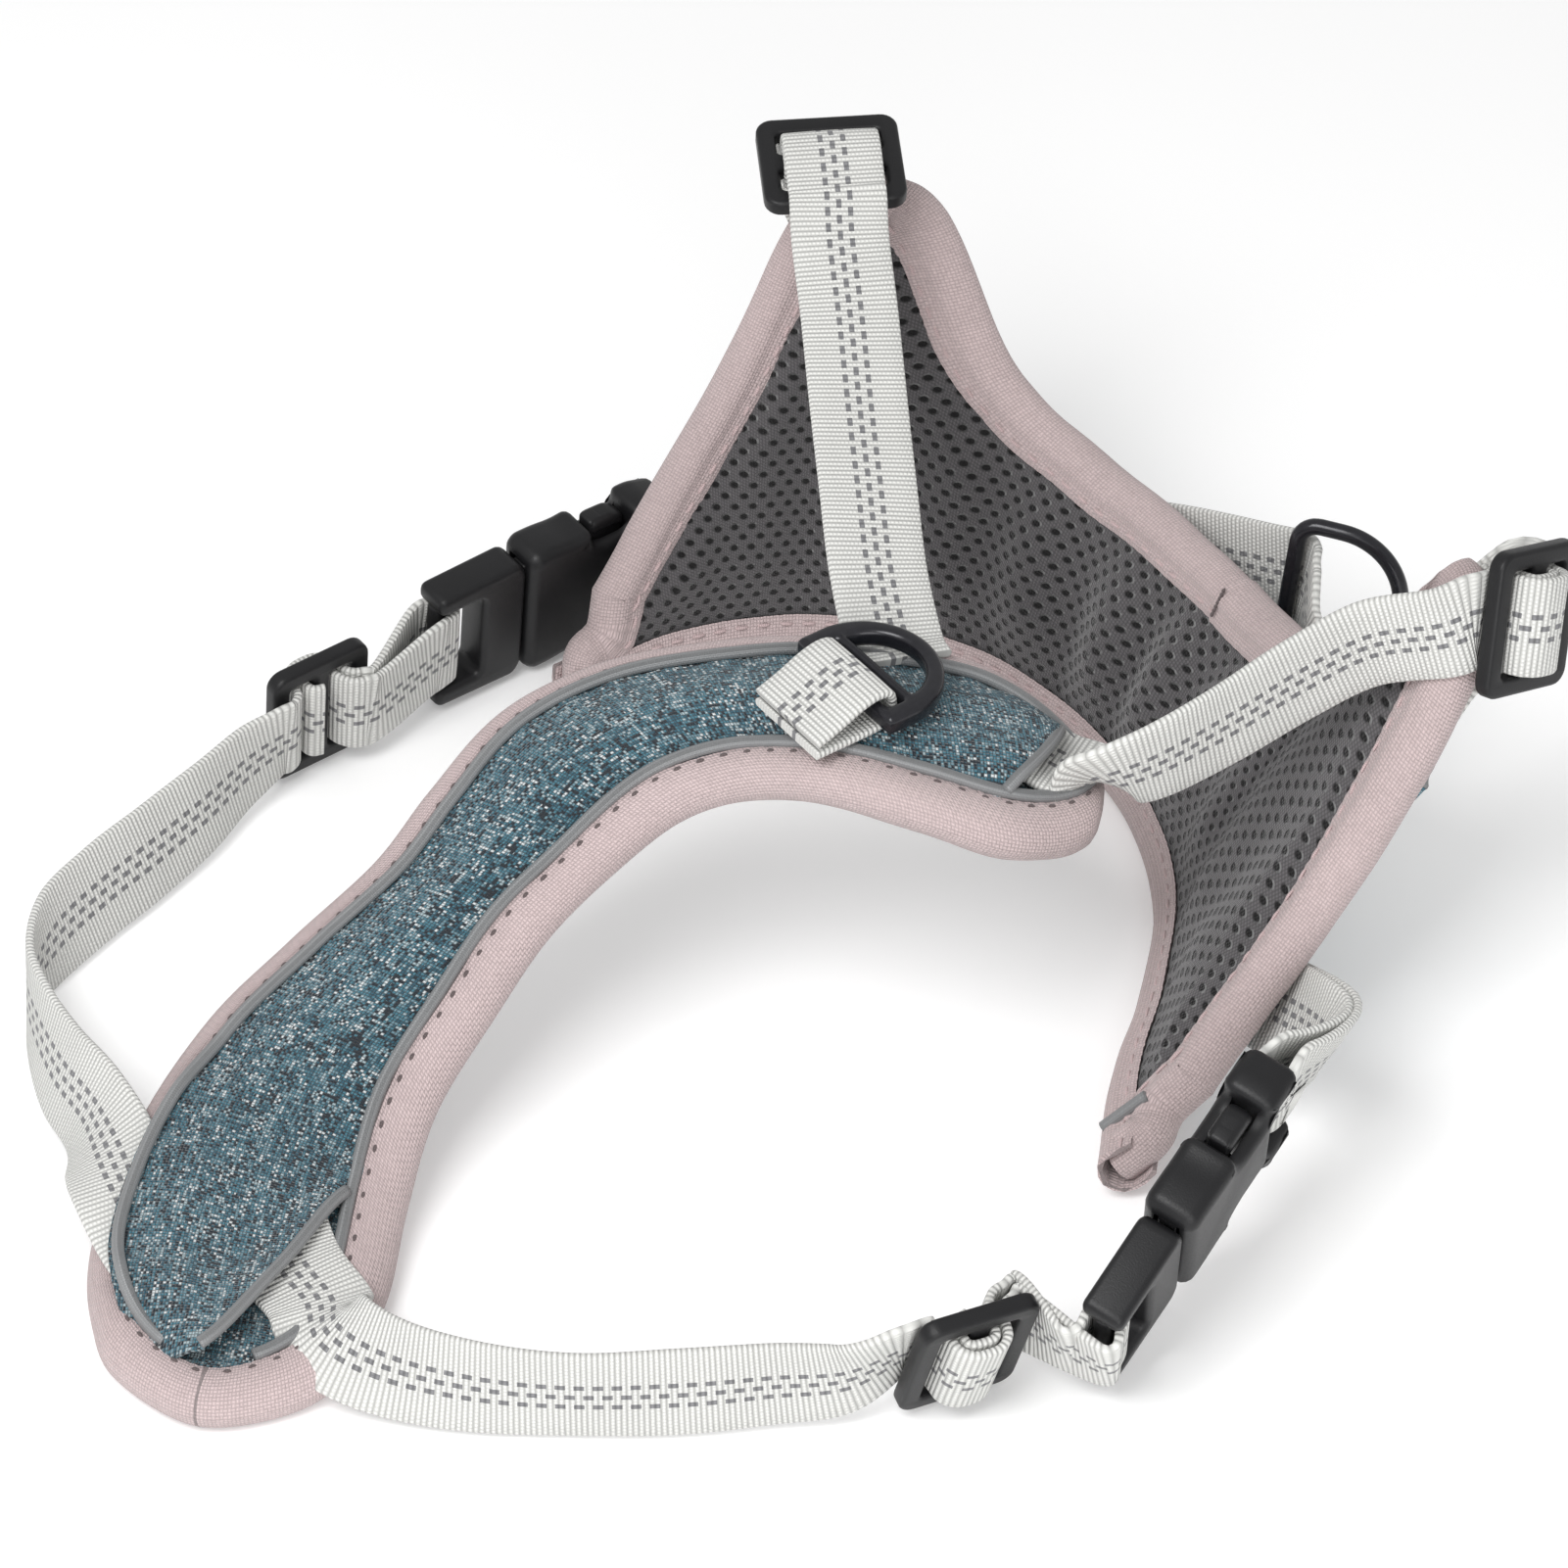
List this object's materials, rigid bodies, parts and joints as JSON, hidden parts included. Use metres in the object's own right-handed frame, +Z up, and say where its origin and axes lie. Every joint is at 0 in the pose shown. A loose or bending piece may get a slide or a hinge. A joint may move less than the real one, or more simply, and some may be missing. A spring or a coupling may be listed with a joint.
{
  "type": "no pull dog harness",
  "caption": "Small padded no pull dog harness with back and chest leash rings, side release girth buckles and sliding strap adjusters.",
  "frame": {"origin": "middle of the bottom of the bounding box, on the surface that the harness stands on", "axes": "+Z up, +X from the harness's left straps to its right straps, -Y towards the chest strip's side of the ring of straps"},
  "size_m": [0.2285, 0.2041, 0.0931],
  "materials": {
    "outer_fabric": "heathered teal-blue woven canvas",
    "padding": "soft foam inside the panels",
    "mesh_lining": "charcoal open air mesh",
    "binding": "dusty mauve folded binding tape",
    "reflective_piping": "matte grey reflective cord",
    "webbing": "off-white ribbed webbing with grey reflective dashes",
    "plastic": "fine-grained black moulded acetal",
    "ring_metal": "black coated steel wire"
  },
  "bodies": {
    "root": {"back_left_side_piping": "reflective_piping", "back_mesh_lining": "mesh_lining", "back_neck_binding": "binding", "back_neck_piping": "reflective_piping", "back_outer_fabric": "outer_fabric", "back_padding": "padding", "back_rear_binding": "binding", "back_rear_piping": "reflective_piping", "back_right_side_piping": "reflective_piping", "chest_far_binding": "binding", "chest_far_piping": "reflective_piping", "chest_front_pocket": "outer_fabric", "chest_mesh_lining": "mesh_lining", "chest_near_binding": "binding", "chest_near_piping": "reflective_piping", "chest_outer_fabric": "outer_fabric", "chest_padding": "padding", "chest_rear_pocket": "outer_fabric", "front_ring_tab": "webbing", "handle_webbing": "webbing", "left_buckle_female": "plastic", "left_buckle_pocket": "outer_fabric", "left_buckle_webbing": "webbing", "left_girth_webbing": "webbing", "left_neck_pocket": "outer_fabric", "left_neck_webbing": "webbing", "right_buckle_female": "plastic", "right_buckle_pocket": "outer_fabric", "right_buckle_webbing": "webbing", "right_girth_webbing": "webbing", "right_neck_pocket": "outer_fabric", "right_neck_webbing": "webbing"},
    "left_male_half": {"left_buckle_male": "plastic"},
    "left_upper_button": {"left_buckle_upper_arm": "plastic"},
    "left_lower_button": {"left_buckle_lower_arm": "plastic"},
    "left_girth_slider": {"left_girth_adjuster": "plastic"},
    "left_neck_slider": {"left_neck_adjuster": "plastic"},
    "right_male_half": {"right_buckle_male": "plastic"},
    "right_upper_button": {"right_buckle_upper_arm": "plastic"},
    "right_lower_button": {"right_buckle_lower_arm": "plastic"},
    "right_girth_slider": {"right_girth_adjuster": "plastic"},
    "right_neck_slider": {"right_neck_adjuster": "plastic"},
    "back_ring": {"back_leash_ring": "ring_metal"},
    "front_ring": {"front_leash_ring": "plastic"}
  },
  "joints": [
    {"name": "left_buckle_slide", "type": "slide", "parent": "root", "child": "left_male_half", "axis": [-0.7828, -0.6222, 0], "range_m": [0, 0.018], "deforming": ["left_girth_webbing", "left_buckle_upper_arm", "left_buckle_lower_arm"]},
    {"name": "left_upper_button_press", "type": "hinge", "parent": "left_male_half", "child": "left_upper_button", "pos_m": [-0.04334, 0.06856, 0.02157], "axis": [-0.6173, 0.7767, 0.1253], "range_deg": [0, 7], "stiffness_Nm_per_rad": 0.05},
    {"name": "left_lower_button_press", "type": "hinge", "parent": "left_male_half", "child": "left_lower_button", "pos_m": [-0.04459, 0.07013, 0.00569], "axis": [0.6173, -0.7767, -0.1253], "range_deg": [0, 7], "stiffness_Nm_per_rad": 0.05},
    {"name": "left_girth_adjust", "type": "slide", "parent": "left_male_half", "child": "left_girth_slider", "axis": [-0.7828, -0.6222, 0], "range_m": [0, 0.012], "deforming": ["left_girth_webbing"]},
    {"name": "right_buckle_slide", "type": "slide", "parent": "root", "child": "right_male_half", "axis": [-0.5536, -0.7449, -0.3724], "range_m": [0, 0.018], "deforming": ["right_girth_webbing", "right_buckle_upper_arm", "right_buckle_lower_arm"]},
    {"name": "right_upper_button_press", "type": "hinge", "parent": "right_male_half", "child": "right_upper_button", "pos_m": [0.0518, -0.08472, 0.02561], "axis": [-0.8325, 0.507, 0.2235], "range_deg": [0, 7], "stiffness_Nm_per_rad": 0.05},
    {"name": "right_lower_button_press", "type": "hinge", "parent": "right_male_half", "child": "right_lower_button", "pos_m": [0.05216, -0.07779, 0.0112], "axis": [0.8325, -0.507, -0.2235], "range_deg": [0, 7], "stiffness_Nm_per_rad": 0.05},
    {"name": "right_girth_adjust", "type": "slide", "parent": "right_male_half", "child": "right_girth_slider", "axis": [-0.9013, -0.4302, 0.0512], "range_m": [0, 0.012], "deforming": ["right_girth_webbing"]},
    {"name": "left_neck_adjust", "type": "slide", "parent": "root", "child": "left_neck_slider", "axis": [0.102, -0.9691, -0.2244], "range_m": [0, 0.012], "deforming": ["left_neck_webbing"]},
    {"name": "right_neck_adjust", "type": "slide", "parent": "root", "child": "right_neck_slider", "axis": [-0.7226, -0.6222, 0.3011], "range_m": [0, 0.004], "deforming": ["right_neck_webbing"]},
    {"name": "front_ring_flip", "type": "hinge", "parent": "root", "child": "front_ring", "pos_m": [0.00838, -0.01069, 0.06204], "axis": [0.5985, -0.7996, -0.0482], "range_deg": [0, 95]},
    {"name": "back_ring_swing", "type": "hinge", "parent": "root", "child": "back_ring", "pos_m": [0.0769, 0.0437, 0.03803], "axis": [0.1198, 0.1697, 0.9782], "range_deg": [-28, 60]}
  ]
}
